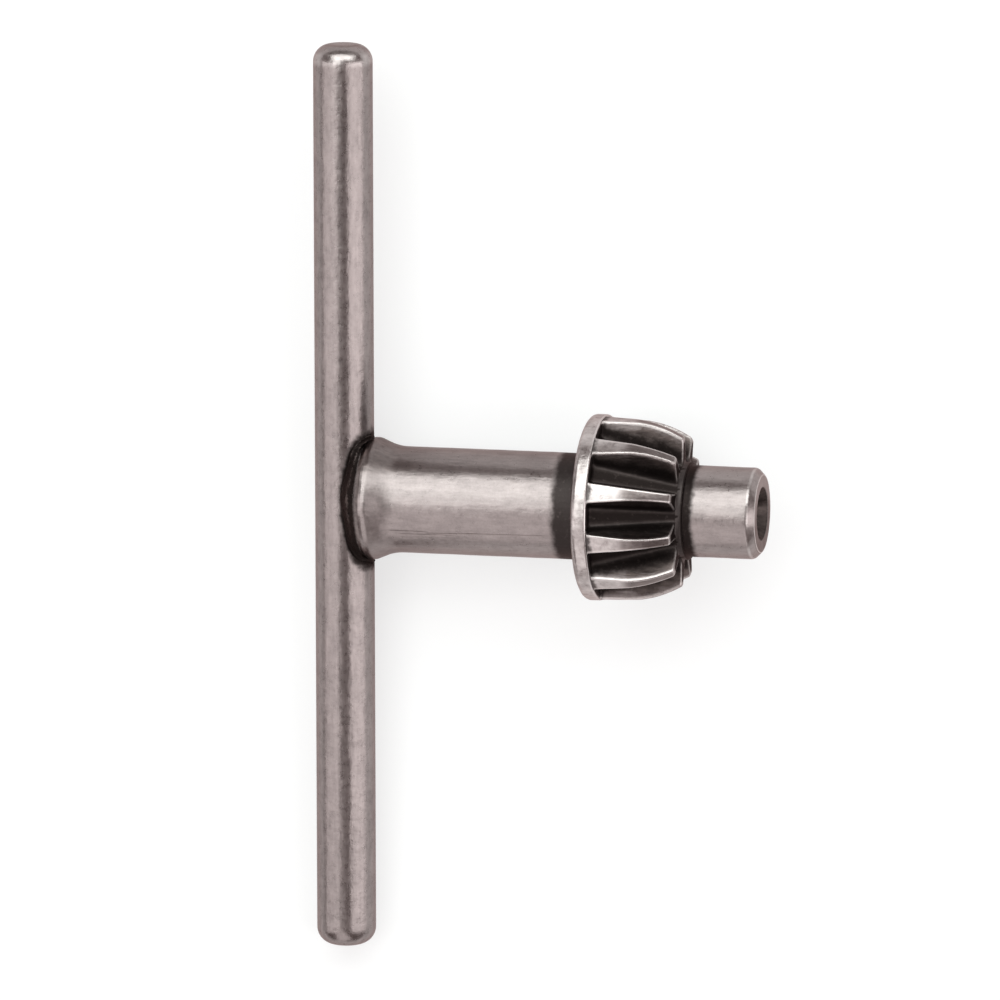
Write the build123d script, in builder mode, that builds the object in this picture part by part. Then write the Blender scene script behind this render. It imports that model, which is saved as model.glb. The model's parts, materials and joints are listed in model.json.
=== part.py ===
from build123d import *
from math import asin, atan2, cos, hypot, radians, sin, tan
import os

# Drill chuck key, in millimetres: a turned and cut body with a bevelled pinion and a pilot,
# welded across the middle of a plain round handle.
# The key lies as it comes to rest, on the rims of its flange and collar and on one end of its handle.
# +Y runs along the handle, +X from the handle towards the pilot, and z = 0 is the surface it lies on.

# Cross handle, a drawn bar with rounded ends
handle_length = 60.0
handle_diameter = 3.9
handle_end_round = 1.15

# Welded end of the body: a flange with a saddle for the handle, tapering down to the shank
saddle_depth = 0.35
flange_step = 0.53
flange_length = 0.7
flange_taper_length = 1.25
flange_bevel_length = 0.45
flange_bevel_depth = 0.2

# Weld metal squeezed out between the flange and the handle, on both sides of the handle
weld_top_inset = 0.1
weld_toe_offset = 0.25
weld_bulge = 0.15

# Shank and collar
shank_diameter = 7.0
shank_length = 12.95
collar_step = 2.6
collar_thickness = 1.1
collar_back_round = 0.4
shank_corner_round = 0.25

# Pinion teeth, cut as tapered valleys in a blank with a barrelled outline
tooth_count = 11
tooth_phase = 19.1
gear_length = 5.33
gear_rim_step = 0.06
crest_straight_length = 2.3
crest_straight_drop = 0.08
crest_nose_drop = 1.12
crest_bulge = 0.19
crest_nose_round = 0.15
root_depth_at_collar = 1.02
valley_floor_at_collar = 1.2
valley_floor_at_nose = 0.64
valley_flank_angle = 26.0
valley_corner_round = 0.16
valley_overcut = 0.15

# Hub ring, pilot and the centre recess that the lathe left in its end
pilot_diameter = 6.0
pilot_length = 4.72
pilot_edge_break = 0.45
hub_step = 0.2
hub_length = 0.4
centre_mouth_diameter = 3.5
centre_drill_diameter = 1.4
centre_drill_length = 1.0
centre_half_angle = 30.0

# Radii that follow from the sizes above
handle_radius = handle_diameter / 2
shank_radius = shank_diameter / 2
flange_radius = shank_radius + flange_step
collar_radius = shank_radius + collar_step
crest_radius = collar_radius - gear_rim_step
shoulder_radius = crest_radius - crest_straight_drop
nose_radius = crest_radius - crest_nose_drop
pilot_radius = pilot_diameter / 2
hub_radius = pilot_radius + hub_step
centre_mouth_radius = centre_mouth_diameter / 2
centre_drill_radius = centre_drill_diameter / 2

# Stations along the body's axis, measured from the centre line of the handle
flange_back = handle_radius - saddle_depth
flange_front = flange_back + flange_length
shank_back = flange_front + flange_taper_length
collar_back = shank_back + shank_length
collar_front = collar_back + collar_thickness
crest_shoulder = collar_front + crest_straight_length
gear_front = collar_front + gear_length
hub_front = gear_front + hub_length
pilot_tip = hub_front + pilot_length
centre_cone_end = pilot_tip - (centre_mouth_radius - centre_drill_radius) / tan(radians(centre_half_angle))
centre_bottom = centre_cone_end - centre_drill_length

# The key comes to rest on the back rims of its flange and collar, which set its pitch,
# and rolls until the handle's far end, at -Y, touches the surface too
flange_contact = flange_back + flange_bevel_length
pitch_run = collar_back + collar_back_round - flange_contact
pitch_rise = collar_radius - collar_back_round - flange_radius
pitch = atan2(pitch_rise, pitch_run) + asin(collar_back_round / hypot(pitch_run, pitch_rise))
centre_height = flange_radius * cos(pitch) - flange_contact * sin(pitch)
end_reach = handle_length / 2 - handle_end_round
end_face_radius = handle_radius - handle_end_round
end_drop = asin((centre_height - handle_end_round) / hypot(end_reach, end_face_radius))
end_drop -= atan2(end_face_radius, end_reach)
roll = asin(sin(end_drop) / cos(pitch))

# Directions of the body's axis, of the handle, and of the body's top side
axis_direction = Vector(cos(pitch), 0, sin(pitch))
handle_direction = Vector(-sin(roll) * sin(pitch), cos(roll), sin(roll) * cos(pitch))
top_direction = Vector(-cos(roll) * sin(pitch), -sin(roll), cos(roll) * cos(pitch))

# The box of the whole key is centred on x = 0 and y = 0
tip_reach = pilot_tip * cos(pitch) + (pilot_radius - pilot_edge_break) * sin(pitch)
back_reach = (
    end_reach * sin(roll) * sin(pitch)
    + end_face_radius * hypot(handle_direction.Y, handle_direction.Z)
    + handle_end_round
)
handle_centre = Vector((back_reach - tip_reach) / 2, 0, centre_height)

# In the body's lengthwise plane, x is the station along the axis and y the radius
body_plane = Plane(origin=handle_centre, x_dir=axis_direction, z_dir=-handle_direction)
body_axis = Axis(handle_centre, axis_direction)
handle_plane = Plane(origin=handle_centre, x_dir=axis_direction, z_dir=handle_direction)


def cross_plane(station, turn):
    """A plane square to the body's axis; its y axis points turn degrees from the body's top side."""
    across = handle_direction * cos(radians(turn)) - top_direction * sin(radians(turn))
    return Plane(origin=handle_centre + axis_direction * station, x_dir=across, z_dir=axis_direction)


# Handle
with BuildPart() as handle_bar:
    with BuildSketch(handle_plane):
        Circle(handle_radius)
    extrude(amount=handle_length / 2, both=True)
    fillet(handle_bar.edges().filter_by(GeomType.CIRCLE), handle_end_round)

# Body: the turned blank, its saddle and its tooth valleys
with BuildPart() as key_body:
    with BuildSketch(body_plane) as blank:
        with BuildLine():
            outline = Polyline(
                (crest_shoulder, shoulder_radius),
                (collar_front, crest_radius),
                (collar_front, collar_radius),
                (collar_back, collar_radius),
                (collar_back, shank_radius),
                (shank_back, shank_radius),
                (flange_front, flange_radius),
                (flange_back + flange_bevel_length, flange_radius),
                (flange_back, flange_radius - flange_bevel_depth),
                (flange_back, 0),
                (centre_bottom, 0),
                (centre_bottom, centre_drill_radius),
                (centre_cone_end, centre_drill_radius),
                (pilot_tip, centre_mouth_radius),
                (pilot_tip, pilot_radius - pilot_edge_break),
                (pilot_tip - pilot_edge_break, pilot_radius),
                (hub_front, pilot_radius),
                (hub_front, hub_radius),
                (gear_front, hub_radius),
                (gear_front, nose_radius),
            )
            SagittaArc(outline @ 1, outline @ 0, -crest_bulge)
        make_face()
        for corner, corner_round in (
            ((collar_back, collar_radius), collar_back_round),
            ((collar_back, shank_radius), shank_corner_round),
            ((gear_front, nose_radius), crest_nose_round),
        ):
            fillet(blank.vertices().sort_by_distance(corner)[0], corner_round)
    revolve(axis=body_axis)

    with BuildSketch(handle_plane):
        Circle(handle_radius)
    extrude(amount=flange_radius * 2, both=True, mode=Mode.SUBTRACT)

    for tooth in range(tooth_count):
        valley_turn = tooth_phase + (tooth + 0.5) * 360 / tooth_count
        for station, floor_width, root_radius in (
            (collar_front, valley_floor_at_collar, crest_radius - root_depth_at_collar),
            (gear_front, valley_floor_at_nose, hub_radius),
        ):
            mouth_radius = collar_radius + valley_overcut
            mouth_width = floor_width + 2 * (mouth_radius - root_radius) * tan(radians(valley_flank_angle))
            with BuildSketch(cross_plane(station, valley_turn)) as valley:
                with BuildLine():
                    Polyline(
                        (-floor_width / 2, root_radius),
                        (-mouth_width / 2, mouth_radius),
                        (mouth_width / 2, mouth_radius),
                        (floor_width / 2, root_radius),
                        close=True,
                    )
                make_face()
                fillet(valley.vertices().group_by(Axis.Y)[0], valley_corner_round)
        loft(ruled=True, mode=Mode.SUBTRACT)
key_body.part.label = "key_body"
handle_bar.part.label = "handle_bar"

# Weld metal: a shallow dish behind the flange, less the handle that passes through it
with BuildPart() as weld_bead:
    toe_station = weld_toe_offset
    toe_radius = (handle_radius**2 - toe_station**2) ** 0.5
    top_radius = flange_radius - flange_bevel_depth - weld_top_inset
    with BuildSketch(body_plane):
        with BuildLine():
            dish = Polyline(
                (toe_station, toe_radius),
                (toe_station, 0),
                (flange_back, 0),
                (flange_back, top_radius),
            )
            SagittaArc(dish @ 1, dish @ 0, -weld_bulge)
        make_face()
    revolve(axis=body_axis)
    with BuildSketch(handle_plane):
        Circle(handle_radius)
    extrude(amount=flange_radius * 2, both=True, mode=Mode.SUBTRACT)
weld_bead.part.label = "weld_bead"

os.makedirs("parts", exist_ok=True)
for piece in (key_body, handle_bar, weld_bead):
    export_step(piece.part, f"parts/{piece.part.label}.step")
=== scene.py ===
import json
import math

import bpy
import numpy as np
from bpy.props import FloatProperty, FloatVectorProperty, IntProperty, PointerProperty
from mathutils import Matrix, Vector


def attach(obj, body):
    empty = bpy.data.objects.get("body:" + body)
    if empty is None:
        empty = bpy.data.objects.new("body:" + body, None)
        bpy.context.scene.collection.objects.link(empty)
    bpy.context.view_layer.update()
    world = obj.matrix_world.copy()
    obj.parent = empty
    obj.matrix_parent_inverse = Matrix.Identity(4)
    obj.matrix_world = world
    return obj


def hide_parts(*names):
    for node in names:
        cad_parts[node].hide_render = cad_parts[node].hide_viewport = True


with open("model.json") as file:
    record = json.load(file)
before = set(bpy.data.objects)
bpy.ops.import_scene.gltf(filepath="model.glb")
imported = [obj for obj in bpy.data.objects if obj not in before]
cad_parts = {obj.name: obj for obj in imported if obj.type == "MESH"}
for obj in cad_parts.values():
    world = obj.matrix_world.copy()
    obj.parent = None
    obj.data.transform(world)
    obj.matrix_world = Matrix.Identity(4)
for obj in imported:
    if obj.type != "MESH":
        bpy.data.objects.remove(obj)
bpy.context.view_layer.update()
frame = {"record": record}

bl_info = {
    "name": "Drill chuck key",
    "version": (1, 0, 0),
    "blender": (4, 5, 0),
    "location": "3D View > Sidebar > Chuck key",
    "description": "Dresses a packed drill chuck key in worn steel, oxide and weld metal, and sets its stage",
    "category": "Object",
}

# A station is a distance along the body's axis from the middle of the handle. Sizes are in millimetres.
MM = 0.001
PILOT = next(mount for mount in frame["record"]["mounts"] if mount["name"] == "pilot")
BODY_AXIS = Vector(PILOT["axis"]).normalized()
PILOT_MIDDLE = Vector(PILOT["pos_m"])

# Spacing, fewest and most of the points along a rounding
ARC_SPACING = 0.08
ARC_FEWEST = 4
ARC_MOST = 14

# Points along each small rounding of a tooth's section, and their places up a flank and across half a crest
TOOTH_ARC_POINTS = 5
FLANK_PLACES = (0.2, 0.45, 0.7, 0.88)
CREST_PLACES = (0.3, 0.65, 1.0)

# Shelter from rubbing runs from 0 on a crest to 1 in a valley; above this, a tooth's front edge isn't worn
VALLEY_SHELTER = 0.95

# Steps along a run of weld metal and ribs across it, how far it runs towards the ends of its half turn,
# and how far its hidden inner face lies inside the flange and the handle
WELD_STEPS = 150
WELD_RIBS = 15
WELD_SHARE = 0.985
WELD_IN_FLANGE = 0.05
WELD_IN_HANDLE = 0.06

# Points round the handle, and how far it is drawn in at each end to stay inside the solid
HANDLE_COLUMNS = 120
HANDLE_DRAWN_IN = 0.004

# Scratches along the shank: first and last station, offset along the handle, drift and width
SCRATCHES = (
    (3.6, 6.6, -1.51, 0.0, 0.045),
    (6.1, 9.8, -1.62, 0.025, 0.045),
    (8.8, 14.8, -1.53, 0.012, 0.035),
    (4.2, 8.4, -1.74, 0.01, 0.03),
)


def length(name, description, millimetres):
    """A length property; its default is given in millimetres."""
    return FloatProperty(
        name=name,
        description=description,
        default=millimetres * MM,
        precision=5,
        unit="LENGTH",
        subtype="DISTANCE",
    )


def angle(name, description, degrees):
    """An angle property; its default is given in degrees."""
    return FloatProperty(
        name=name, description=description, default=math.radians(degrees), unit="ROTATION", subtype="ANGLE"
    )


def colour(name, description, red, green, blue):
    """A colour property."""
    return FloatVectorProperty(
        name=name, description=description, default=(red, green, blue), min=0, max=1, subtype="COLOR"
    )


def share(name, description, value):
    """A plain number property."""
    return FloatProperty(name=name, description=description, default=value)


class KeySizes(bpy.types.PropertyGroup):
    """Sizes of the key, as in its solids, and those of the wear and the rough weld that the solids lack."""

    roll: angle("Roll", "Turn of the key about its body's axis, as it comes to rest", 3.5299159)
    handle_length: length("Handle length", "Length of the cross handle", 60.0)
    handle_radius: length("Handle radius", "Radius of the cross handle", 1.95)
    handle_end_round: length("Handle end round", "Rounding of the handle's ends", 1.15)
    flange_back: length("Flange back", "Station of the flange's back face", 1.6)
    flange_front: length("Flange front", "Station where the flange's rim ends", 2.3)
    shank_back: length("Shank back", "Station where the taper behind the shank ends", 3.55)
    collar_back: length("Collar back", "Station of the collar's back face", 16.5)
    collar_front: length("Collar front", "Station of the collar's front face", 17.6)
    crest_shoulder: length("Crest shoulder", "Station where the crests begin to fall", 19.9)
    gear_front: length("Gear front", "Station of the teeth's front faces", 22.93)
    hub_front: length("Hub front", "Station of the hub ring's front face", 23.33)
    pilot_tip: length("Pilot tip", "Station of the pilot's end face", 28.05)
    flange_radius: length("Flange radius", "Radius of the flange's rim", 4.03)
    bevel_length: length("Flange bevel length", "Length of the bevel on the flange's back rim", 0.45)
    bevel_depth: length("Flange bevel depth", "Depth of the bevel on the flange's back rim", 0.2)
    bevel_knee: length("Bevel knee", "Distance from the flange's back face to the bevel's worn knee", 0.25)
    bevel_knee_depth: length("Bevel knee depth", "Depth of the knee under the flange's rim", 0.035)
    rim_round: length("Rim round", "Rounding between the bevel and the flange's rim", 0.3)
    flange_front_round: length("Flange front round", "Rounding of the flange's front rim", 0.6)
    taper_round: length("Taper round", "Rounding between the taper and the shank", 3.0)
    shank_radius: length("Shank radius", "Radius of the shank", 3.5)
    collar_radius: length("Collar radius", "Radius of the collar's rim", 6.1)
    collar_round: length("Collar round", "Rounding of the collar's back rim", 0.4)
    collar_wear: length("Collar wear", "Rounding worn on the collar's front rim", 0.16)
    shank_corner_round: length("Shank corner round", "Fillet between the shank and the collar", 0.25)
    crest_radius: length("Crest radius", "Radius of the crests at the collar", 6.04)
    shoulder_radius: length("Shoulder radius", "Radius of the crests at their shoulder", 5.96)
    nose_radius: length("Nose radius", "Radius of the crests at the nose", 4.92)
    crest_bulge: length("Crest bulge", "Height of the crests' arc over its chord", 0.19)
    hub_radius: length("Hub radius", "Radius of the hub ring", 3.2)
    root_radius: length("Root radius", "Radius of the valley floors at the collar", 5.02)
    floor_at_collar: length("Floor at collar", "Width of a valley's floor at the collar", 1.2)
    floor_at_nose: length("Floor at nose", "Width of a valley's floor at the nose", 0.64)
    flank_angle: angle("Flank angle", "Lean of a valley's flanks", 26.0)
    valley_round: length("Valley round", "Fillet along a valley's floor", 0.16)
    valley_end_round: length("Valley end round", "Fillet between a valley's floor and the collar", 0.14)
    tooth_count: IntProperty(name="Teeth", description="Number of teeth", default=11, min=3)
    tooth_phase: angle("Tooth phase", "Turn of the first crest from the body's top side", 19.1)
    tooth_edge_wear: length("Tooth edge wear", "Rounding worn on the teeth's edges", 0.09)
    nose_round: length("Nose round", "Rounding of the teeth's front edges", 0.15)
    pilot_radius: length("Pilot radius", "Radius of the pilot", 3.0)
    pilot_break: length("Pilot break", "Bevel of the pilot's edge", 0.45)
    pilot_edge_round: length("Pilot edge round", "Rounding worn between the pilot and its bevel", 0.45)
    mouth_radius: length("Mouth radius", "Radius of the centre recess at its mouth", 1.75)
    mouth_round: length("Mouth round", "Rounding worn on the centre recess's mouth", 0.15)
    drill_radius: length("Drill radius", "Radius of the centre recess at its bottom", 0.7)
    cone_end: length("Cone end", "Station where the centre recess stops narrowing", 26.2313)
    centre_bottom: length("Centre bottom", "Station of the centre recess's bottom", 25.2313)
    unevenness: length("Unevenness", "How far the worn surfaces wander from their true shape", 0.02)
    weld_reach: length("Weld reach", "How far along the handle the weld flash runs from the middle", 4.35)
    weld_width: length("Weld width", "How far the weld flash runs round the handle", 1.7)
    weld_inset: length("Weld inset", "Distance of the weld's upper edge from the flange's back corner", 0.1)
    weld_ridge: length("Weld ridge", "Height of the weld's ridges", 0.12)
    weld_lump: length("Weld lump", "Size of the lumps in the weld metal", 0.06)


class KeyFinishes(bpy.types.PropertyGroup):
    """Colours of the key's steel, oxide and weld metal."""

    steel: colour("Steel", "Tumbled steel", 0.312, 0.27, 0.264)
    # The worn colour also paints highlights: on the collar's rim and the crests beside it, and near the
    # handle's upper end.
    worn: colour("Worn steel", "Steel where its edges are rubbed bright", 0.56, 0.51, 0.5)
    handle: colour("Handle steel", "Drawn and tumbled steel of the handle", 0.285, 0.245, 0.24)
    # The stain colour also paints shade on the shank's upper limb and round the centre recess's mouth, and a
    # highlight on the weld's upper ridges; the oxide colour also paints shade inside the centre recess.
    stain: colour("Stain", "Brown tint where the oxide is rubbed thin", 0.13, 0.104, 0.098)
    oxide: colour("Oxide", "Dark oxide in sheltered places", 0.022, 0.017, 0.016)
    weld: colour("Weld metal", "Blackened weld metal", 0.02, 0.0155, 0.0145)
    grazing: colour("Grazing tint", "Tint of all the metal where it is seen edge-on", 0.68, 0.58, 0.57)
    steel_roughness: share("Steel roughness", "Roughness of the tumbled steel", 0.3)


class StageSettings(bpy.types.PropertyGroup):
    """The floor, the lamps and the camera."""

    floor: colour("Floor", "Colour of the floor", 0.93, 0.93, 0.93)
    floor_width: length("Floor width", "Width of the floor", 6000.0)
    floor_glow: share("Floor glow", "Share of plain white in what the camera sees of the floor", 0.65)
    room: colour("Room", "Light from all round, off warm dark walls", 0.22, 0.174, 0.168)
    upper_tint: colour("Upper lamp colour", "Colour of the upper and the middle soft box", 0.93, 1.0, 0.985)
    upper_lamp: share("Upper lamp", "Brightness of the soft box beyond the handle's upper end", 3.0)
    middle_lamp: share("Middle lamp", "Brightness of the soft box between the upper and the left one", 2.2)
    left_lamp: share("Left lamp", "Brightness of the soft box behind the handle", 1.5)
    right_lamp: share("Right lamp", "Brightness of the soft box beyond the pilot", 2.1)
    lower_lamp: share("Lower lamp", "Brightness of the soft box beyond the handle's lower end", 1.12)
    camera_azimuth: angle("Camera azimuth", "Turn of the camera from straight above, to the pilot", 13.415)
    camera_elevation: angle("Camera elevation", "Turn of the camera towards the handle's upper end", 10.251)
    camera_roll: angle("Camera roll", "Turn of the camera about its own axis", -0.1)
    camera_distance: length("Camera distance", "Distance from the camera to the key", 674.262)
    view_width: length("View width", "Width of the view at the key", 65.686)
    aim_along: length("Aim along", "From the handle's middle to the view's, across the picture", 10.195)
    aim_up: length("Aim up", "From the handle's middle to the view's, up the picture", -0.215)


class ChuckKeySettings(bpy.types.PropertyGroup):
    """All settings of the chuck key."""

    sizes: PointerProperty(type=KeySizes)
    finishes: PointerProperty(type=KeyFinishes)
    stage: PointerProperty(type=StageSettings)


class Wire:
    """A node's output; a sum written on it adds Math nodes."""

    def __init__(self, graph, socket):
        self.graph = graph
        self.socket = socket

    def __getitem__(self, name):
        return Wire(self.graph, named(self.socket.node.outputs, name))

    def math(self, operation, first, second=None):
        return self.graph.add("ShaderNodeMath", {0: first, 1: second}, operation=operation)

    def __add__(self, other):
        return self.math("ADD", self, other)

    __radd__ = __add__

    def __sub__(self, other):
        return self.math("SUBTRACT", self, other)

    def __rsub__(self, other):
        return self.math("SUBTRACT", other, self)

    def __mul__(self, other):
        return self.math("MULTIPLY", self, other)

    def __truediv__(self, other):
        return self.math("DIVIDE", self, other)

    def __pow__(self, other):
        return self.math("POWER", self, other)

    def __abs__(self):
        return self.math("ABSOLUTE", self)

    def at_least(self, other):
        return self.math("MAXIMUM", self, other)

    def at_most(self, other):
        return self.math("MINIMUM", self, other)

    def rise(self, low, high, start=0.0):
        """0 below low and 1 above high, counted from start, with a soft change; falls where low is larger."""
        inputs = {"Value": self, "From Min": start + min(low, high), "From Max": start + max(low, high)}
        inputs |= {"To Min": float(low > high), "To Max": float(low < high)}
        return self.graph.add("ShaderNodeMapRange", inputs, interpolation_type="SMOOTHSTEP", clamp=True)


def named(sockets, key):
    """A node's socket by its place or by its name, passing over those that its settings hide."""
    return sockets[key] if isinstance(key, int) else next(s for s in sockets if s.name == key and s.enabled)


class Graph:
    """Builds one node tree."""

    def __init__(self, tree):
        self.tree = tree

    def add(self, kind, inputs=None, **settings):
        """Adds a node, makes its settings, then fills its inputs with values or links."""
        node = self.tree.nodes.new(kind)
        for name, value in settings.items():
            setattr(node, name, value)
        for key, value in (inputs or {}).items():
            if isinstance(value, Wire):
                self.tree.links.new(value.socket, named(node.inputs, key))
            elif value is not None:
                named(node.inputs, key).default_value = value
        shown = [socket for socket in node.outputs if socket.enabled]
        return Wire(self, shown[0]) if shown else None

    def vector_math(self, operation, first, second):
        return self.add("ShaderNodeVectorMath", {0: first, 1: second}, operation=operation)

    def scaled(self, vector, factor):
        """A vector or a colour times a number."""
        return self.add("ShaderNodeVectorMath", {0: vector, "Scale": factor}, operation="SCALE")

    def mix(self, factor, first, second):
        """Blends two colours."""
        return self.add("ShaderNodeMix", {"Factor": factor, "A": first, "B": second}, data_type="RGBA")

    def attribute(self, name):
        """A value that the mesh holds at its points."""
        return self.add("ShaderNodeAttribute", attribute_name=name)["Fac"]

    def noise(self, place, scale, detail=2.0, stretch=(1, 1, 1), roughness=0.5):
        """Noise at so many features a millimetre, stretched along the key's own directions."""
        place = self.vector_math("MULTIPLY", place, stretch)
        inputs = {"Vector": place, "Scale": scale, "Detail": detail, "Roughness": roughness}
        return self.add("ShaderNodeTexNoise", inputs)


def shader_graph(owner):
    """The emptied shader tree of a material or a world."""
    owner.use_nodes = True
    owner.node_tree.nodes.clear()
    return Graph(owner.node_tree)


def rgba(values):
    return (*values, 1.0)


def in_millimetres(group):
    """A property group's lengths in millimetres, and its other values as they are."""
    values = {name: getattr(group, name) for name in group.__annotations__}
    kinds = group.bl_rna.properties
    return {name: value / MM if kinds[name].unit == "LENGTH" else value for name, value in values.items()}


def directions(right, up, back):
    """The matrix that turns x, y and z to three directions."""
    return Matrix((right, up, back)).transposed()


class Shape:
    """The key's sizes as plain numbers in millimetres, and its own directions in the frame."""

    def __init__(self):
        self.__dict__.update(in_millimetres(bpy.context.scene.chuck_key.sizes))
        pitch = math.atan2(BODY_AXIS.z, BODY_AXIS.x)
        rolled = math.sin(self.roll)
        self.along = BODY_AXIS
        self.across = Vector((-rolled * math.sin(pitch), math.cos(self.roll), rolled * math.cos(pitch)))
        self.top = self.along.cross(self.across)
        pilot_middle = (self.hub_front + self.pilot_tip - self.pilot_break) / 2
        self.centre = PILOT_MIDDLE - self.along * pilot_middle * MM
        self.turn = directions(self.along, self.across, self.top)

    def placed(self):
        """The matrix that puts a mesh made in millimetres, in the key's own directions, into the frame."""
        return Matrix.Translation(self.centre) @ self.turn.to_4x4() @ Matrix.Scale(MM, 4)

    def crest(self, station):
        """Radius of the teeth's crests at a station."""
        if station <= self.crest_shoulder:
            part = (station - self.collar_front) / (self.crest_shoulder - self.collar_front)
            return self.crest_radius + (self.shoulder_radius - self.crest_radius) * part
        part = (station - self.crest_shoulder) / (self.gear_front - self.crest_shoulder)
        chord = self.shoulder_radius + (self.nose_radius - self.shoulder_radius) * part
        return chord + 4 * self.crest_bulge * part * (1 - part)

    def seat(self, height):
        """Station of the handle's front surface at a height over its middle."""
        return math.sqrt(max(self.handle_radius**2 - height**2, 0))

    def facing(self, azimuth, elevation):
        """The right, up and back directions of a lamp or camera that looks at the key.

        Azimuth turns it from the body's top side to the pilot, elevation to the handle's upper end.
        """
        level = self.along * math.sin(azimuth) + self.top * math.cos(azimuth)
        back = level * math.cos(elevation) + self.across * math.sin(elevation)
        up = (self.across - back * self.across.dot(back)).normalized()
        return up.cross(back), up, back


def rounded(corners):
    """A profile of (station, radius, wear) from corners of (station, radius, rounding, wear if any)."""
    points = []
    for i, (station, radius, corner_round, *worn) in enumerate(corners):
        here = np.array((station, radius))
        if corner_round == 0:
            points.append((station, radius, 0))
            continue
        before = np.array(corners[i - 1][:2]) - here
        after = np.array(corners[i + 1][:2]) - here
        before /= np.linalg.norm(before)
        after /= np.linalg.norm(after)
        half = math.acos(before @ after) / 2
        start = here + before * corner_round / math.tan(half)
        end = here + after * corner_round / math.tan(half)
        middle = here + (before + after) / np.linalg.norm(before + after) * corner_round / math.sin(half)
        sweep = math.pi - 2 * half
        count = min(ARC_MOST, ARC_FEWEST + int(corner_round * sweep / ARC_SPACING))
        for part in np.linspace(0, 1, count):
            spoke = (start - middle) * math.sin((1 - part) * sweep) + (end - middle) * math.sin(part * sweep)
            wear = math.sin(part * math.pi) * sum(worn)
            points.append((*(middle + spoke / math.sin(sweep)), wear))
    return points


def half_section(shape, station, inset, fill):
    """Half a tooth's cross-section, from the middle of a valley to the middle of a crest.

    Each point is (turn from the valley, radius, wear, shelter). Inset draws the tooth in, as at its
    front edge, and fill makes the valley shallower and narrower, as at its end by the collar.
    """
    part = (station - shape.collar_front) / (shape.gear_front - shape.collar_front)
    lean = shape.flank_angle
    root = shape.root_radius + (shape.hub_radius - shape.root_radius) * part + fill
    half_floor = (shape.floor_at_collar + (shape.floor_at_nose - shape.floor_at_collar) * part) / 2
    half_floor += (inset * 0.7 - fill) / math.cos(lean) + fill * math.tan(lean)
    crest = shape.crest(station) - inset
    corner = shape.valley_round
    edge = shape.tooth_edge_wear
    tangent = corner * math.tan((math.pi / 2 - lean) / 2)
    points = [(x, root, 0, 1) for x in np.linspace(0, half_floor - tangent, 3)[:-1]]
    for turn in np.linspace(-math.pi / 2, -lean, TOOTH_ARC_POINTS):
        x = half_floor - tangent + corner * math.cos(turn)
        points.append((x, root + corner + corner * math.sin(turn), 0.3, 1))
    flank = np.array((math.sin(lean), math.cos(lean)))
    outward = np.array((math.cos(lean), -math.sin(lean)))
    base = np.array((half_floor, root))
    start = base + edge * outward
    along = start @ flank
    reach = -along + math.sqrt(along**2 - start @ start + (crest - edge) ** 2)
    middle = start + reach * flank
    for up in FLANK_PLACES:
        x, y = base + flank * (tangent + (reach - tangent) * up)
        points.append((x, y, 0, 1 - 0.9 * up**1.4))
    last = math.atan2(middle[1], middle[0])
    for turn in np.linspace(math.pi - lean, last, TOOTH_ARC_POINTS):
        x, y = middle + edge * np.array((math.cos(turn), math.sin(turn)))
        points.append((x, y, 1, 0.05))
    points = [(math.atan2(x, y), math.hypot(x, y), wear, shelter) for x, y, wear, shelter in points]
    first = points[-1][0]
    last = math.pi / shape.tooth_count
    points += [(first + (last - first) * part, crest, 0.0, 0.0) for part in CREST_PLACES]
    return points


def section(shape, station, inset=0.0, fill=0.0):
    """A whole tooth from valley to valley: (turn from the crest, radius, wear, shelter)."""
    half = half_section(shape, station, inset, fill)
    pitch_half = math.pi / shape.tooth_count
    left = [(turn - pitch_half, radius, wear, shelter) for turn, radius, wear, shelter in half]
    right = [(pitch_half - turn, radius, wear, shelter) for turn, radius, wear, shelter in half[-2::-1]]
    return left + right


def back_profile(shape):
    """The body's outline from the middle of its back face, over flange and shank, to the collar's front."""
    back, rim, shank = shape.flange_back, shape.flange_radius, shape.shank_radius
    beyond_taper, before_collar, inside_wear = 1.15, 1.0, 0.02
    along_shank = np.linspace(shape.shank_back + beyond_taper, shape.collar_back - before_collar, 28)
    return rounded(
        [
            *[(back, radius, 0) for radius in (0.5, 1.2, 2.2, 3.0)],
            (back, rim - shape.bevel_depth, 0.04),
            (back + shape.bevel_knee, rim - shape.bevel_knee_depth, 0.2),
            (back + shape.bevel_length, rim, shape.rim_round),
            (shape.flange_front, rim, shape.flange_front_round),
            (shape.shank_back, shank, shape.taper_round),
            *[(station, shank, 0) for station in along_shank],
            (shape.collar_back, shank, shape.shank_corner_round),
            (shape.collar_back, (shank + shape.collar_radius) / 2, 0),
            (shape.collar_back, shape.collar_radius, shape.collar_round),
            (shape.collar_front, shape.collar_radius, shape.collar_wear, 1.0),
            (shape.collar_front, shape.collar_radius - shape.collar_wear - inside_wear, 0),
        ]
    )


def front_profile(shape):
    """The body's outline from the teeth's front, over hub ring and pilot, to the centre recess's bottom."""
    pilot, tip, bottom = shape.pilot_radius, shape.pilot_tip, shape.centre_bottom
    beyond_hub, before_tip = 0.47, 1.05
    along_pilot = np.linspace(shape.hub_front + beyond_hub, tip - before_tip, 9)
    return rounded(
        [
            (shape.gear_front, shape.hub_radius, 0),
            (shape.hub_front, shape.hub_radius, 0.08),
            (shape.hub_front, pilot, 0.1),
            *[(station, pilot, 0) for station in along_pilot],
            (tip - shape.pilot_break, pilot, shape.pilot_edge_round, 0.55),
            (tip, pilot - shape.pilot_break, 0.2, 0.85),
            (tip, shape.mouth_radius + 0.4, 0),
            (tip, shape.mouth_radius, shape.mouth_round, 0.5),
            (shape.cone_end, shape.drill_radius, 0.1),
            (bottom, shape.drill_radius, 0.15),
            (bottom, 0.3, 0),
        ]
    )


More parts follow.
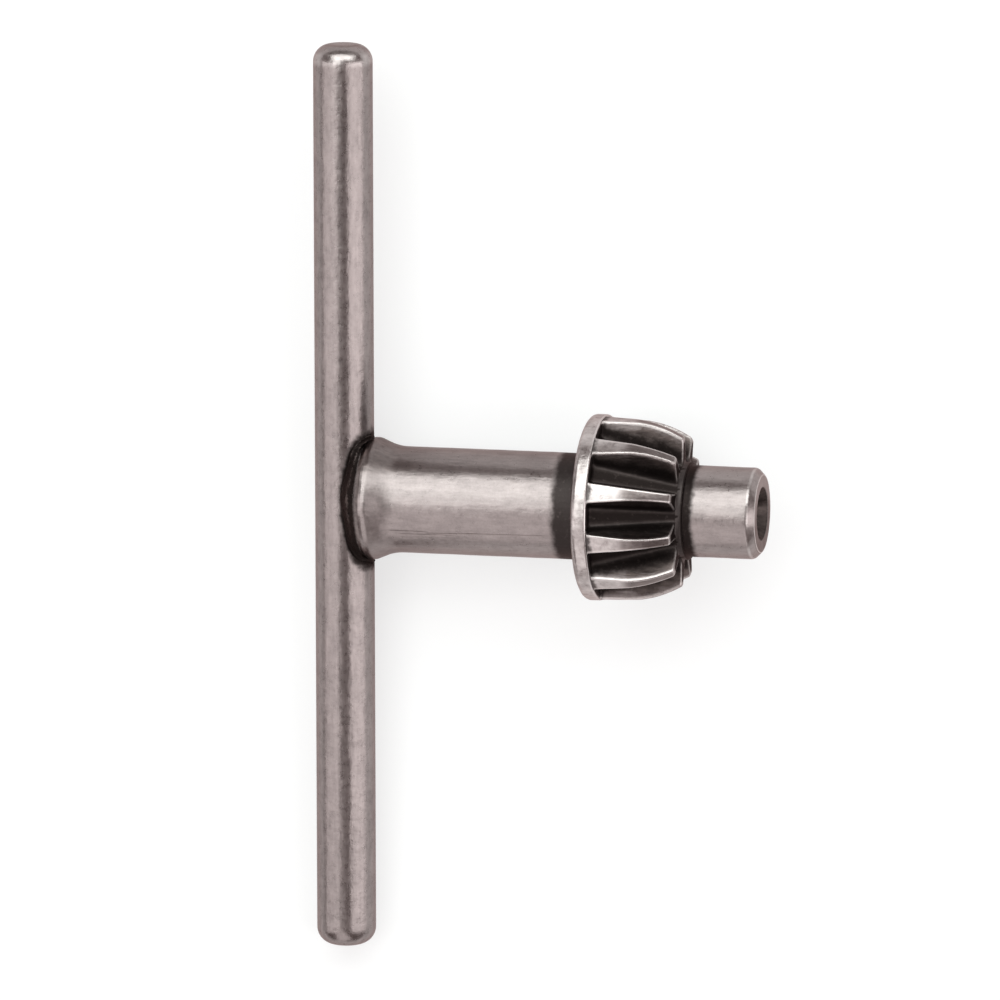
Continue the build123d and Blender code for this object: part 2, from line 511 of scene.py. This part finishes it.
def tooth_rows(shape):
    """A tooth from the collar to the hub ring, as rows of (station, turn, radius, wear, shelter)."""
    rows = []
    end_round, clear_of_round = shape.valley_end_round, 0.15
    for turn in np.linspace(0, math.pi / 2, 4):
        station = shape.collar_front + end_round * (1 - math.cos(turn))
        fill = end_round * (1 - math.sin(turn))
        rows.append([(station, *point) for point in section(shape, station, fill=fill)])
    first = shape.collar_front + end_round + clear_of_round
    last = shape.gear_front - shape.nose_round
    rows += [[(s, *point) for point in section(shape, s)] for s in np.linspace(first, last, 22)[:-1]]
    for turn in np.linspace(0, math.pi / 2, 6):
        station = last + shape.nose_round * math.sin(turn)
        inset = shape.nose_round * (1 - math.cos(turn))
        edge_wear = 0.9 * math.sin(turn)
        row = []
        for around, radius, wear, shelter in section(shape, station, inset):
            on_edge = edge_wear if shelter < VALLEY_SHELTER else 0
            row.append((station, around, radius, max(wear, on_edge), shelter))
        rows.append(row)
    front_edge = rows[-1]
    for part in (0.2, 0.6):
        rows.append([(s, t, r + (shape.hub_radius - r) * part, 0, 1) for s, t, r, _, _ in front_edge])
    return rows


def tooth_sector(shape):
    """A mesh of one tooth's share of the turned body, with its wear and its shelter from rubbing."""
    collar_turns = [turn for turn, *_ in section(shape, shape.collar_front)]
    nose_turns = [turn for turn, *_ in section(shape, shape.gear_front, shape.nose_round)]
    rows = [[(s, turn, r, wear, 0) for turn in collar_turns] for s, r, wear in back_profile(shape)]
    rows += tooth_rows(shape)
    rows += [[(s, turn, r, wear, 0) for turn in nose_turns] for s, r, wear in front_profile(shape)]
    columns = len(collar_turns)
    points = [(s, r * math.sin(turn), r * math.cos(turn)) for row in rows for s, turn, r, _, _ in row]
    wear = [point[3] for row in rows for point in row]
    shelter = [point[4] for row in rows for point in row]
    faces = []
    for i in range(len(rows) - 1):
        for j in range(columns - 1):
            k = i * columns + j
            faces.append((k, k + columns, k + columns + 1, k + 1))
    last_row = (len(rows) - 1) * columns
    for pole_station, row_start in ((shape.flange_back, 0), (shape.centre_bottom, last_row)):
        points.append((pole_station, 0, 0))
        wear.append(0)
        shelter.append(0)
        for k in range(row_start, row_start + columns - 1):
            pair = (k, k + 1) if row_start == 0 else (k + 1, k)
            faces.append((len(points) - 1, *pair))
    return new_mesh("tooth_sector", points, faces, {"wear": wear, "shelter": shelter})


def new_mesh(name, points, faces, attributes=None):
    """A mesh with float attributes on its points."""
    mesh = bpy.data.meshes.new(name)
    mesh.from_pydata([tuple(map(float, point)) for point in points], [], faces)
    for label, values in (attributes or {}).items():
        attribute = mesh.attributes.new(label, "FLOAT", "POINT")
        attribute.data.foreach_set("value", np.array(values, dtype=np.float32))
    return mesh


def tube_quads(rings, size):
    """The corners of each quad of a closed tube: two on one ring and two on the next."""
    for i in range(rings - 1):
        for j in range(size):
            k, following = i * size + j, i * size + (j + 1) % size
            yield k, following, following + size, k + size


def geometry_tree(name, inputs):
    """An empty geometry tree: geometry in and out, the inputs given, and a place, turn and material."""
    tree = bpy.data.node_groups.new(name, "GeometryNodeTree")
    inputs = {"Geometry": "Geometry", **inputs, "Place": "Vector", "Turn": "Vector", "Material": "Material"}
    for label, kind in inputs.items():
        tree.interface.new_socket(name=label, in_out="INPUT", socket_type=f"NodeSocket{kind}")
    tree.interface.new_socket(name="Geometry", in_out="OUTPUT", socket_type="NodeSocketGeometry")
    graph = Graph(tree)
    return graph, graph.add("NodeGroupInput")


def grown(obj, tree, shape, values):
    """Runs a geometry tree on an object and leaves the result on it as a plain mesh."""
    values = {"Place": shape.centre, "Turn": Vector(shape.turn.to_euler()), **values}
    modifier = obj.modifiers.new(tree.name, "NODES")
    modifier.node_group = tree
    for item in tree.interface.items_tree:
        if item.in_out == "INPUT" and item.name in values:
            modifier[item.identifier] = values[item.name]
    even = obj.modifiers.new("Even shading", "WEIGHTED_NORMAL")
    even.weight = 50
    obj.update_tag()
    evaluated = obj.evaluated_get(bpy.context.evaluated_depsgraph_get())
    mesh = bpy.data.meshes.new_from_object(evaluated)
    obj.modifiers.clear()
    rough = obj.data
    obj.data = mesh
    bpy.data.meshes.remove(rough)
    mesh.name = obj.name


def new_object(name, mesh):
    obj = bpy.data.objects.new(name, mesh)
    bpy.context.scene.collection.objects.link(obj)
    return obj


def uneven(graph, geometry, amount, scale, seed, level=0.5):
    """Moves each point along its normal by smooth noise; points stay put where the noise is at its level."""
    place = graph.add("GeometryNodeInputPosition")
    shift = graph.add("ShaderNodeCombineXYZ", {"X": seed, "Y": seed * 2, "Z": seed * 3})
    shifted = graph.vector_math("ADD", place, shift)
    wander = graph.add("ShaderNodeTexNoise", {"Vector": shifted, "Scale": scale, "Detail": 2.0}) - level
    offset = graph.scaled(graph.add("GeometryNodeInputNormal"), wander * amount * 2)
    return graph.add("GeometryNodeSetPosition", {"Geometry": geometry, "Offset": offset})


def end_tree(graph, given, geometry):
    """Ends a tree: moves the shape from millimetres into the frame and gives it its material."""
    inputs = {"Geometry": geometry, "Translation": given["Place"], "Rotation": given["Turn"]}
    placed = graph.add("GeometryNodeTransform", {**inputs, "Scale": (MM,) * 3})
    smooth = graph.add("GeometryNodeSetShadeSmooth", {"Geometry": placed})
    real = graph.add("GeometryNodeRealizeInstances", {"Geometry": smooth})
    inputs = {"Geometry": real, "Material": given["Material"]}
    graph.add("NodeGroupOutput", {"Geometry": graph.add("GeometryNodeSetMaterial", inputs)})
    return graph.tree


def tooth_ring_tree():
    """Repeats one tooth's sector round the body's axis, seats it on the handle and roughens it slightly."""
    inputs = {"Teeth": "Int", "First tooth": "Float", "Handle radius": "Float"}
    inputs |= {"Unevenness": "Float", "Seed": "Float"}
    graph, given = geometry_tree("Tooth ring", inputs)
    index = graph.add("GeometryNodeInputIndex")
    turn = given["First tooth"] + index * (2 * math.pi) / given["Teeth"]
    euler = graph.add("ShaderNodeCombineXYZ", {"X": 0.0 - turn})
    rotation = graph.add("FunctionNodeEulerToRotation", {"Euler": euler})
    points = graph.add("GeometryNodePoints", {"Count": given["Teeth"]})
    inputs = {"Points": points, "Instance": given["Geometry"], "Rotation": rotation}
    ring = graph.add("GeometryNodeInstanceOnPoints", inputs)
    ring = graph.add("GeometryNodeRealizeInstances", {"Geometry": ring})
    ring = graph.add("GeometryNodeMergeByDistance", {"Geometry": ring, "Distance": 0.0005})
    ring = uneven(graph, ring, given["Unevenness"], 0.9, given["Seed"], 0.8)
    place = graph.add("GeometryNodeInputPosition")
    parts = graph.add("ShaderNodeSeparateXYZ", {"Vector": place})
    saddle = (given["Handle radius"] ** 2 - parts["Z"] ** 2).at_least(0.0) ** 0.5
    inputs = {"X": parts["X"].at_least(saddle), "Y": parts["Y"], "Z": parts["Z"]}
    seated = graph.add("ShaderNodeCombineXYZ", inputs)
    ring = graph.add("GeometryNodeSetPosition", {"Geometry": ring, "Position": seated})
    return end_tree(graph, given, ring)


class Surface:
    """A steel surface's material: the key's own coordinates, and the nodes that colour and roughen it."""

    def __init__(self, name, shape):
        self.material = bpy.data.materials.new(name)
        self.graph = graph = shader_graph(self.material)
        self.finishes = bpy.context.scene.chuck_key.finishes
        inputs = {"Vector": graph.add("ShaderNodeTexCoord")["Object"], "Location": shape.centre}
        inputs |= {"Rotation": shape.turn.to_euler(), "Scale": (MM,) * 3}
        self.place = graph.add("ShaderNodeMapping", inputs, vector_type="TEXTURE")
        parts = graph.add("ShaderNodeSeparateXYZ", {"Vector": self.place})
        self.station, self.along_handle, self.height = parts["X"], parts["Y"], parts["Z"]
        self.radius = (self.along_handle**2 + self.height**2) ** 0.5

    def finish(self, base, roughness, bump, bump_height):
        """Ends the material in a metal shader; bump_height is in millimetres."""
        graph = self.graph
        inputs = {"Height": bump, "Strength": 1.0, "Distance": bump_height * MM}
        normal = graph.add("ShaderNodeBump", inputs)
        inputs = {"Base Color": base, "Metallic": 1.0, "Roughness": roughness, "Normal": normal}
        inputs["Specular Tint"] = rgba(self.finishes.grazing)
        shader = graph.add("ShaderNodeBsdfPrincipled", inputs)
        graph.add("ShaderNodeOutputMaterial", {"Surface": shader})
        return self.material


def steel_grain(surface, stretch):
    """The marks that tumbling leaves: broad mottling, blotches, fine grain and lengthwise streaks."""
    graph, place = surface.graph, surface.place
    mottle = graph.noise(place, 0.9, 3.0, roughness=0.6)
    blotch = graph.noise(place, 2.6, 3.0, roughness=0.6)
    grain = graph.noise(place, 7.0, 3.0, roughness=0.65)
    streak = graph.noise(place, 4.0, 3.0, stretch, roughness=0.6)
    return mottle - 0.5, blotch - 0.5, grain - 0.5, streak - 0.5


def scratch(surface, start, end, offset, drift, width):
    """A thin line along the body's top side, from one station to another, at an offset along the handle."""
    off_line = abs(surface.along_handle - (surface.station - start) * drift - offset)
    ends = surface.station.rise(start, start + 0.4) * surface.station.rise(end, end - 0.8)
    return off_line.rise(width, width * 0.3) * ends * surface.height.rise(0.0, 0.1)


def weathered(blotch, mottle):
    """Faint brown patches where scale is left on the steel."""
    return (blotch + mottle).rise(0.16, 0.45) * 0.2


def body_oxide(surface, shape, shelter, ragged):
    """Dark oxide in the valleys, by the collar, at the foot of the teeth, on the hub ring and the neck."""
    station, radius = surface.station, surface.radius
    collar, teeth, hub = shape.collar_back, shape.collar_front, shape.hub_front
    deep = (shelter + ragged * 0.8).rise(0.32, 0.82)
    by_collar = (station + ragged * 0.6).rise(-2.1, -1.5, collar) * station.rise(0.25, 0.1, collar)
    by_collar = by_collar * radius.rise(1.4, 0.3, shape.shank_radius)
    foot = station.rise(-0.04, 0.02, teeth) * (station + ragged * 0.9).rise(0.4, 0.08, teeth)
    foot = foot * radius.rise(0.05, 0.01, shape.crest_radius)
    ring = station.rise(-0.13, 0.02, shape.gear_front) * station.rise(0.17, 0.07, hub)
    neck = (station + ragged * 0.4).rise(0.82, 0.37, hub) * station.rise(-0.13, -0.03, hub)
    neck = neck * radius.rise(0.3, 0.1, shape.pilot_radius)
    return deep + by_collar * 0.92 + foot * 0.8 + neck + ring * 0.85


def body_steel(shape):
    """Tumbled steel with oxide in sheltered places, brown stains, rubbed edges and a few scratches, with a
    painted highlight on the collar's rim and the crests beside it, and painted shade on the shank's upper
    limb and round the centre recess.
    """
    surface = Surface("turned_steel", shape)
    graph, finishes = surface.graph, surface.finishes
    station, radius, along_handle = surface.station, surface.radius, surface.along_handle
    mottle, blotch, grain, streak = steel_grain(surface, (0.16, 1, 1))
    wear, shelter = graph.attribute("wear"), graph.attribute("shelter")
    ragged = mottle * 0.8 + blotch * 0.6

    # Painted shade: the inside of the centre recess is darkened towards oxide and brown, and a patch of end
    # face round the lower side of its mouth is stained brown.
    shade_below_mouth = ((along_handle + 0.9) ** 2 + surface.height**2) ** 0.5 + ragged * 0.4
    in_mouth = radius.rise(0.11, -0.03, shape.mouth_radius)
    recess = station.rise(-0.73, -0.63, shape.centre_bottom) * in_mouth
    recess = recess + station.rise(-0.1, -0.05, shape.pilot_tip) * shade_below_mouth.rise(2.65, 2.25)
    # Oxide here also holds the painted shade inside the centre recess.
    oxide = (body_oxide(surface, shape, shelter, ragged) + recess * in_mouth * 0.6).at_most(1.0)

    rubbing = graph.noise(surface.place, 3.0, 3.0, (0.14, 1, 1)).rise(0.46, 0.62) * shelter.rise(0.85, 0.4)
    flank = (shelter + ragged * 0.25).rise(0.15, 0.5) * (0.97 - rubbing * 0.62)
    marks = sum(scratch(surface, *mark) for mark in SCRATCHES)
    bevel = (station + ragged * 0.2).rise(0.35, 0.2, shape.flange_back) * 0.55
    facet = station.rise(-0.2, 0.3, shape.crest_shoulder) * station.rise(0.02, -0.08, shape.gear_front)
    # Painted shade: the shank's limb towards the handle's upper end is stained brown, twice as strongly over
    # the taper.
    upper_limb_shade = along_handle.rise(2.0, 2.6) * station.rise(-1.5, -2.5, shape.collar_back)
    upper_limb_shade = upper_limb_shade * (blotch * 0.4 + 0.25) * (station.rise(3.45, -0.05, shape.shank_back) + 1.0)
    # Brown holds real stains and scratches, and also painted shade: on the shank's upper limb here, and round
    # the centre recess next.
    brown = flank + weathered(blotch, mottle) + marks * 0.7 + bevel + facet * (0.5 + blotch) + upper_limb_shade
    brown = brown + recess.at_most(1.0)

    # Painted highlight: the collar's rim and the crests beside it are lightened towards the worn colour.
    crown_highlight = station.rise(0.0, 0.2, shape.collar_back) * radius.rise(-0.19, -0.09, shape.crest_radius)
    crown_highlight = crown_highlight * (station + ragged * 0.6).rise(0.1, -0.5, shape.crest_shoulder)
    # Rubbed holds real wear on the edges and the painted highlight on the collar's rim and crests.
    rubbed = wear.rise(0.15, 0.8) * (grain + blotch + 0.9) + crown_highlight * (blotch * 1.6 + mottle * 1.6 + 0.6)

    tone = 0.92 + mottle * 0.35 + blotch * 0.35 + grain * 0.35 + streak * 0.4
    stain = graph.scaled(tuple(finishes.stain), 0.9 + streak * 1.6 + blotch * 0.8)
    steel = graph.mix(brown.at_most(1.0), graph.scaled(tuple(finishes.steel), tone), stain)
    steel = graph.mix(rubbed.at_least(0.0).at_most(1.0), steel, rgba(finishes.worn))
    thin_oxide = (blotch + grain * 0.6).rise(0.05, 0.35) * 0.3
    dark = graph.mix(thin_oxide, rgba(finishes.oxide), rgba(finishes.stain))
    base = graph.mix(oxide * (1 - wear * 0.8), steel, dark)

    taper = station.rise(-0.1, 0.1, shape.flange_front) * station.rise(0.45, -0.05, shape.shank_back)
    roughness = finishes.steel_roughness + blotch * 0.12 + grain * 0.1
    roughness = roughness + oxide * 0.2 + flank * 0.08 + taper * 0.1
    bump = grain * 0.3 + blotch * 0.6 + mottle * 2.4 + streak * 0.8 - marks * 0.4
    return surface.finish(base, roughness, bump, bump_height=0.012)


def handle_steel(shape):
    """Drawn and tumbled steel with smoke and oxide round the weld, and a painted highlight near its upper
    end.
    """
    surface = Surface("drawn_steel", shape)
    graph, finishes = surface.graph, surface.finishes
    mottle, blotch, grain, streak = steel_grain(surface, (1, 0.14, 1))
    ragged = mottle * 0.5 + blotch * 0.4
    tip = shape.handle_length / 2
    reach = (surface.along_handle / (shape.weld_reach + 0.3)) ** 2
    depth = ((shape.handle_radius - surface.station) / (shape.weld_width + 0.08)) ** 2
    smoke = ((reach + depth) ** 0.5 + ragged * 0.3).rise(1.08, 0.94)
    end = abs(surface.along_handle).rise(-0.12, -0.02, tip)

    tone = 0.92 + mottle * 0.45 + blotch * 0.5 + grain * 0.25 + streak * 0.5
    brown = (weathered(blotch, mottle) + end * 0.5).at_most(1.0)
    steel = graph.mix(brown, graph.scaled(tuple(finishes.handle), tone), rgba(finishes.stain))
    # Painted highlight: rubbed here is only a band near the handle's upper end, lightened towards the worn
    # colour.
    upper_end_highlight = surface.along_handle + ragged * 0.3
    rubbed = upper_end_highlight.rise(-1.45, -1.05, tip) * upper_end_highlight.rise(-0.35, -0.7, tip) * (0.4 + blotch)
    steel = graph.mix(rubbed, steel, rgba(finishes.worn))
    base = graph.mix(smoke, steel, rgba(finishes.oxide))
    roughness = finishes.steel_roughness - 0.01 + blotch * 0.14 + grain * 0.05 + smoke * 0.2
    bump = grain * 0.12 + blotch * 0.7 + mottle * 2.8 + streak * 0.7
    return surface.finish(base, roughness, bump, bump_height=0.014)


def weld_metal(shape):
    """Blackened, scaly weld metal, rubbed on its ridges and bare along the flange; the ridges are lightened
    only on the side towards the handle's upper end, which is a painted highlight.
    """
    surface = Surface("weld_scale", shape)
    graph, finishes = surface.graph, surface.finishes
    mottle, blotch, grain, streak = steel_grain(surface, (1, 0.5, 1))
    high, bare = graph.attribute("wear"), graph.attribute("bare")
    # Painted highlight: rubbed follows the ridges, as wear, but only on the side towards the handle's upper
    # end.
    lit_side_highlight = surface.along_handle.rise(-3.0, 1.5)
    rubbed = (high * 0.7 + blotch * 1.4 + grain * 0.8).rise(0.35, 0.8) * lit_side_highlight
    base = graph.mix(rubbed * 0.9, rgba(finishes.weld), rgba(finishes.stain))
    base = graph.mix((bare + blotch * 0.4).rise(0.5, 0.9) * 0.5, base, rgba(finishes.handle))
    roughness = 0.55 + blotch * 0.2 + grain * 0.3 - rubbed * 0.15
    bump = grain * 1.2 + blotch * 1.5 + mottle + streak * 0.5
    return surface.finish(base, roughness, bump, bump_height=0.03)


def ridges(up):
    """Share of full height of the weld's two ridges, from the handle (0) up to the flange (1)."""
    return 0.8 * math.exp(-(((up - 0.16) / 0.1) ** 2)) + math.exp(-(((up - 0.58) / 0.13) ** 2))


def weld_strip(shape, side):
    """One run of weld metal: a closed strip from the handle up to the flange's back rim, in millimetres.

    Its outer face climbs from the handle to the flange over two ridges. Its inner face is inside the steel.
    """
    radius = shape.handle_radius
    top_radius = shape.flange_radius - shape.bevel_depth - shape.weld_inset
    corner = math.sqrt(radius**2 - shape.flange_back**2)

    def place(far, round_turn, along):
        return far * math.sin(round_turn), along, side * far * math.cos(round_turn)

    loops, wear, bare = [], [], []
    for step in range(WELD_STEPS + 1):
        turn = (step / WELD_STEPS * 2 - 1) * math.pi / 2 * WELD_SHARE
        toe_station = radius - shape.weld_width * math.cos(turn) * (1 + 0.05 * math.sin(turn * 7 + side))
        toe_turn = math.asin(toe_station / radius)
        toe_along = shape.weld_reach * math.sin(turn)
        top_height = top_radius * math.cos(turn)
        top_station = max(shape.flange_back, shape.seat(top_height))
        top_turn = math.atan2(top_station, top_height)
        top_far = math.hypot(top_station, top_height)
        top_along = top_radius * math.sin(turn)
        loop = []
        for rib in range(WELD_RIBS + 1):
            up = rib / WELD_RIBS
            far = radius + (top_far - radius) * up
            far += shape.weld_ridge * ridges(up) * (0.15 + 0.85 * math.cos(turn)) - 0.03 * (up == 0)
            round_turn = toe_turn + (top_turn - toe_turn) * up
            loop.append(place(far, round_turn, toe_along + (top_along - toe_along) * up))
            wear.append(ridges(up) * 0.8)
            bare.append(max(0, up * 4 - 3))
        inner_height = max(min(corner, top_height), 0) - 0.04
        for height in np.linspace(top_height, inner_height, 4):
            station = max(top_station, shape.seat(height)) + WELD_IN_FLANGE
            loop.append((station, top_along, side * height))
        inner_turn = math.acos(inner_height / radius)
        for part in np.linspace(0, 1, 5)[1:]:
            round_turn = inner_turn + (toe_turn - inner_turn) * part
            along = top_along + (toe_along - top_along) * part
            loop.append(place(radius - WELD_IN_HANDLE, round_turn, along))
        inner_points = len(loop) - WELD_RIBS - 1
        wear += [0] * inner_points
        bare += [0] * inner_points
        loops.append(loop)
    size = len(loops[0])
    points = [point for loop in loops for point in loop]
    quads = tube_quads(len(loops), size)
    faces = [(a, d, c, b) if side > 0 else (b, c, d, a) for a, b, c, d in quads]
    first = tuple(range(size))
    last = tuple(range(len(points) - size, len(points)))
    faces += [first, last[::-1]] if side > 0 else [first[::-1], last]
    return points, faces, {"wear": wear, "bare": bare}


def rough_weld_tree():
    """Roughens the weld metal and scatters small lumps of spatter over it."""
    graph, given = geometry_tree("Rough weld", {"Lump": "Float", "Seed": "Int"})
    shift = given["Seed"] * 1.7
    bead = uneven(graph, given["Geometry"], given["Lump"], 1.3, shift)
    bead = uneven(graph, bead, given["Lump"] * 0.8, 4.0, shift)
    inputs = {"Mesh": bead, "Density": 2.5, "Seed": given["Seed"]}
    scattered = graph.add("GeometryNodeDistributePointsOnFaces", inputs, distribute_method="RANDOM")
    lump = graph.add("GeometryNodeMeshIcoSphere", {"Radius": given["Lump"], "Subdivisions": 2})
    inputs = {"Min": 0.5, "Max": 1.25, "Seed": given["Seed"]}
    sizes = graph.add("FunctionNodeRandomValue", inputs, data_type="FLOAT")
    flat = graph.add("ShaderNodeCombineXYZ", {"X": sizes, "Y": sizes * 1.5, "Z": sizes * 0.7})
    inputs = {"Points": scattered, "Instance": lump, "Rotation": scattered["Rotation"], "Scale": flat}
    lumps = graph.add("GeometryNodeInstanceOnPoints", inputs)
    lumps = graph.add("GeometryNodeRealizeInstances", {"Geometry": lumps})
    lumps = uneven(graph, lumps, given["Lump"] * 0.5, 6.0, shift)
    both = graph.add("GeometryNodeJoinGeometry", {"Geometry": bead})
    graph.tree.links.new(lumps.socket, both.socket.node.inputs[0])
    return end_tree(graph, given, both)


def belongs(obj, node):
    """Puts a finished piece under the key's root and hides the solid that it stands for."""
    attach(obj, "root")
    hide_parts(node)


class CHUCKKEY_OT_body(bpy.types.Operator):
    """Makes the turned body with its ring of teeth"""

    bl_idname = "chuck_key.body"
    bl_label = "Body and teeth"

    def execute(self, context):
        shape = Shape()
        body = new_object("turned_body", tooth_sector(shape))
        values = {
            "Teeth": shape.tooth_count,
            "First tooth": shape.tooth_phase,
            "Handle radius": shape.handle_radius,
            "Unevenness": shape.unevenness,
            "Seed": 4.0,
            "Material": body_steel(shape),
        }
        grown(body, tooth_ring_tree(), shape, values)
        belongs(body, "key_body")
        return {"FINISHED"}


def handle_mesh(shape):
    """The round handle with its rounded ends."""
    half = shape.handle_length / 2 - HANDLE_DRAWN_IN
    radius, end_round = shape.handle_radius, shape.handle_end_round
    end = rounded([(-half, 0.3, 0), (-half, radius, end_round), (0, radius, 0)])[:-1]
    profile = [(along, far) for along, far, _ in end]
    profile += [(along, radius) for along in np.linspace(-half + end_round + 0.4, 0, 60)]
    profile += [(-along, far) for along, far in profile[-2::-1]]
    points = []
    for along, far in profile:
        for turn in np.linspace(0, 2 * math.pi, HANDLE_COLUMNS, endpoint=False):
            points.append((far * math.sin(turn), along, far * math.cos(turn)))
    faces = list(tube_quads(len(profile), HANDLE_COLUMNS))
    faces.append(tuple(range(HANDLE_COLUMNS))[::-1])
    faces.append(tuple(range(len(points) - HANDLE_COLUMNS, len(points))))
    mesh = new_mesh("handle_rod", points, faces)
    mesh.transform(shape.placed())
    mesh.shade_smooth()
    return mesh


class CHUCKKEY_OT_handle(bpy.types.Operator):
    """Makes the round cross handle"""

    bl_idname = "chuck_key.handle"
    bl_label = "Handle"

    def execute(self, context):
        shape = Shape()
        mesh = handle_mesh(shape)
        mesh.materials.append(handle_steel(shape))
        rod = new_object("handle_rod", mesh)
        belongs(rod, "handle_bar")
        return {"FINISHED"}


class CHUCKKEY_OT_weld(bpy.types.Operator):
    """Makes the rough weld metal between the flange and the handle"""

    bl_idname = "chuck_key.weld"
    bl_label = "Weld metal"

    def execute(self, context):
        shape = Shape()
        points, faces, marks = weld_strip(shape, 1)
        under_points, under_faces, under_marks = weld_strip(shape, -1)
        faces += [tuple(k + len(points) for k in face) for face in under_faces]
        marks = {name: values + under_marks[name] for name, values in marks.items()}
        mesh = new_mesh("weld_flash", points + under_points, faces, marks)
        weld = new_object("weld_flash", mesh)
        values = {"Lump": shape.weld_lump, "Seed": 7, "Material": weld_metal(shape)}
        grown(weld, rough_weld_tree(), shape, values)
        belongs(weld, "weld_bead")
        return {"FINISHED"}


def pale_floor(settings):
    """The floor's material: pale paint that still takes the key's shadow, and is near white to the camera."""
    material = bpy.data.materials.new("pale_floor")
    graph = shader_graph(material)
    ray = graph.add("ShaderNodeLightPath")
    seen = ray["Is Camera Ray"].at_least(ray["Is Glossy Ray"]).at_least(ray["Is Transmission Ray"])
    paint = graph.add("ShaderNodeBsdfDiffuse", {"Color": rgba(settings.floor)})
    white = graph.add("ShaderNodeEmission", {"Color": (1, 1, 1, 1), "Strength": 1.0})
    inputs = {0: seen * settings.floor_glow, 1: paint, 2: white}
    surface = graph.add("ShaderNodeMixShader", inputs)
    graph.add("ShaderNodeOutputMaterial", {"Surface": surface})
    return material


def room_light(settings):
    """A world that lights the key evenly from all round."""
    world = bpy.data.worlds.new("room")
    graph = shader_graph(world)
    room = graph.add("ShaderNodeBackground", {"Color": rgba(settings.room), "Strength": 1.0})
    graph.add("ShaderNodeOutputWorld", {"Surface": room})
    return world


def soft_box(shape, name, brightness, width, height, azimuth, elevation, tint=(1, 1, 1)):
    """An area lamp half a metre from the key; its turn is from the body's top side, in degrees."""
    right, up, back = shape.facing(math.radians(azimuth), math.radians(elevation))
    lamp = bpy.data.lights.new(name, "AREA")
    lamp.shape = "RECTANGLE"
    lamp.size, lamp.size_y = width, height
    lamp.energy = brightness * math.pi * width * height
    lamp.color = tint
    obj = new_object(name, lamp)
    obj.matrix_world = Matrix.Translation(back * 0.5) @ directions(right, up, back).to_4x4()


def photo_camera(shape, settings):
    """The camera, set where the photo's camera was."""
    view = in_millimetres(settings)
    side, upright, back = shape.facing(settings.camera_azimuth, settings.camera_elevation)
    roll = settings.camera_roll
    right = side * math.cos(roll) + upright * math.sin(roll)
    up = upright * math.cos(roll) - side * math.sin(roll)
    aim = (right * view["aim_along"] + up * view["aim_up"] + back * view["camera_distance"]) * MM
    data = bpy.data.cameras.new("camera")
    data.sensor_width = 36.0
    data.lens = data.sensor_width * view["camera_distance"] / view["view_width"]
    data.clip_start, data.clip_end = 0.01, 20.0
    camera = new_object("camera", data)
    camera.matrix_world = Matrix.Translation(shape.centre + aim) @ directions(right, up, back).to_4x4()
    return camera


class CHUCKKEY_OT_stage(bpy.types.Operator):
    """Makes the floor, the lamps, the room light and the camera"""

    bl_idname = "chuck_key.stage"
    bl_label = "Stage"

    def execute(self, context):
        scene = context.scene
        settings = scene.chuck_key.stage
        shape = Shape()
        half = settings.floor_width / 2
        corners = [(-half, -half, 0), (half, -half, 0), (half, half, 0), (-half, half, 0)]
        floor = new_object("floor", new_mesh("floor", corners, [(0, 1, 2, 3)]))
        floor.data.materials.append(pale_floor(settings))
        scene.world = room_light(settings)
        tint = settings.upper_tint
        soft_box(shape, "upper_lamp", settings.upper_lamp, 0.78, 0.35, 11, 48.5, tint)
        soft_box(shape, "middle_lamp", settings.middle_lamp, 0.32, 0.26, -11, 15, tint)
        soft_box(shape, "left_lamp", settings.left_lamp, 0.58, 0.28, -41, -6)
        soft_box(shape, "right_lamp", settings.right_lamp, 0.62, 0.28, 62, -6)
        soft_box(shape, "lower_lamp", settings.lower_lamp, 0.36, 0.54, -8, -49)
        scene.camera = photo_camera(shape, settings)
        scene.view_settings.view_transform = "Standard"
        return {"FINISHED"}


OPERATORS = (CHUCKKEY_OT_body, CHUCKKEY_OT_handle, CHUCKKEY_OT_weld, CHUCKKEY_OT_stage)


class CHUCKKEY_PT_panel(bpy.types.Panel):
    """Sizes, finishes and the operators that make the key"""

    bl_idname = "CHUCKKEY_PT_panel"
    bl_label = "Chuck key"
    bl_space_type = "VIEW_3D"
    bl_region_type = "UI"
    bl_category = "Chuck key"

    def draw(self, context):
        settings = context.scene.chuck_key
        for group in (settings.sizes, settings.finishes, settings.stage):
            box = self.layout.box()
            for name in group.__annotations__:
                box.prop(group, name)
        for operator in OPERATORS:
            self.layout.operator(operator.bl_idname)


CLASSES = (KeySizes, KeyFinishes, StageSettings, ChuckKeySettings, *OPERATORS, CHUCKKEY_PT_panel)


def register():
    for cls in CLASSES:
        bpy.utils.register_class(cls)
    bpy.types.Scene.chuck_key = PointerProperty(type=ChuckKeySettings)


def unregister():
    del bpy.types.Scene.chuck_key
    for cls in reversed(CLASSES):
        bpy.utils.unregister_class(cls)


def main():
    """Makes the key and its stage."""
    register()
    bpy.ops.chuck_key.body()
    bpy.ops.chuck_key.handle()
    bpy.ops.chuck_key.weld()
    bpy.ops.chuck_key.stage()


if __name__ == "__main__":
    main()
